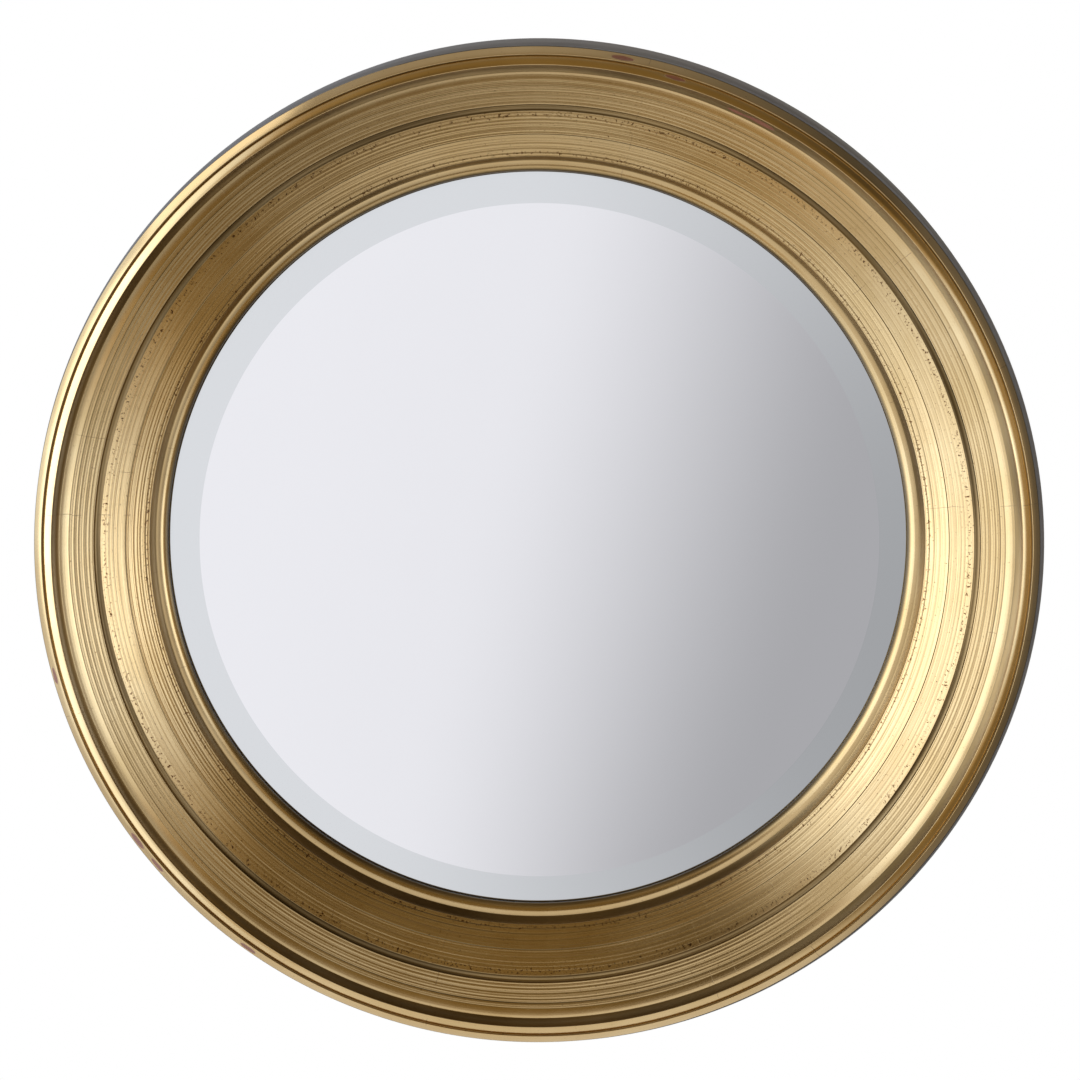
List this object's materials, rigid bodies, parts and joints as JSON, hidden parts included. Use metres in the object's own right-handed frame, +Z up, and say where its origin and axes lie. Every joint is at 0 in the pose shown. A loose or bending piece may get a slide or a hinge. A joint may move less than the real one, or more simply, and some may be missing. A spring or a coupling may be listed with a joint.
{
  "type": "convex butlers mirror",
  "caption": "Round convex wall mirror with bevelled glass in a deep turned and gilded frame with a dark grey side, hung by swinging D-rings on the back.",
  "frame": {"origin": "on the wall plane, behind the middle of the frame", "axes": "+Z up, the face looks towards -Y, the wall is the plane y = 0 and lies towards +Y, +X to the right as seen from the front"},
  "size_m": [0.5, 0.0712, 0.5],
  "materials": {
    "gilding": "gold leaf over gesso on turned wood, lightly worn",
    "grey_paint": "satin dark grey paint on glued wood",
    "mirror_glass": "silvered behind, bevelled rim",
    "felt": "pressed wool felt",
    "bare_wood": "sawn softwood",
    "board": "thin plywood, sanded",
    "steel": "bright zinc plate",
    "brass": "plain brass, dulled"
  },
  "bodies": {
    "frame": {"gilt_moulding": "gilding", "frame_segment_1": "grey_paint", "frame_segment_2": "grey_paint", "frame_segment_3": "grey_paint", "frame_segment_4": "grey_paint", "frame_segment_5": "grey_paint", "frame_segment_6": "grey_paint", "frame_segment_7": "grey_paint", "frame_segment_8": "grey_paint", "mirror_glass": "mirror_glass", "rebate_felt": "felt", "glazing_block_1": "bare_wood", "glazing_block_2": "bare_wood", "glazing_block_3": "bare_wood", "glazing_block_4": "bare_wood", "glazing_block_5": "bare_wood", "glazing_block_6": "bare_wood", "glazing_block_7": "bare_wood", "glazing_block_8": "bare_wood", "block_pins": "steel", "backboard": "board", "backboard_screws": "brass", "hanger_strap_left": "steel", "hanger_strap_right": "steel", "hanger_screws": "brass", "wall_bumper_1": "felt", "wall_bumper_2": "felt", "wall_bumper_3": "felt", "wall_bumper_4": "felt"},
    "left_ring": {"d_ring_left": "steel"},
    "right_ring": {"d_ring_right": "steel"}
  },
  "joints": [
    {"name": "left_ring_swing", "type": "hinge", "parent": "frame", "child": "left_ring", "pos_m": [-0.2, -0.0032, 0.114], "axis": [1, 0, 0], "range_deg": [0, 180]},
    {"name": "right_ring_swing", "type": "hinge", "parent": "frame", "child": "right_ring", "pos_m": [0.2, -0.0032, 0.114], "axis": [1, 0, 0], "range_deg": [0, 180]}
  ]
}
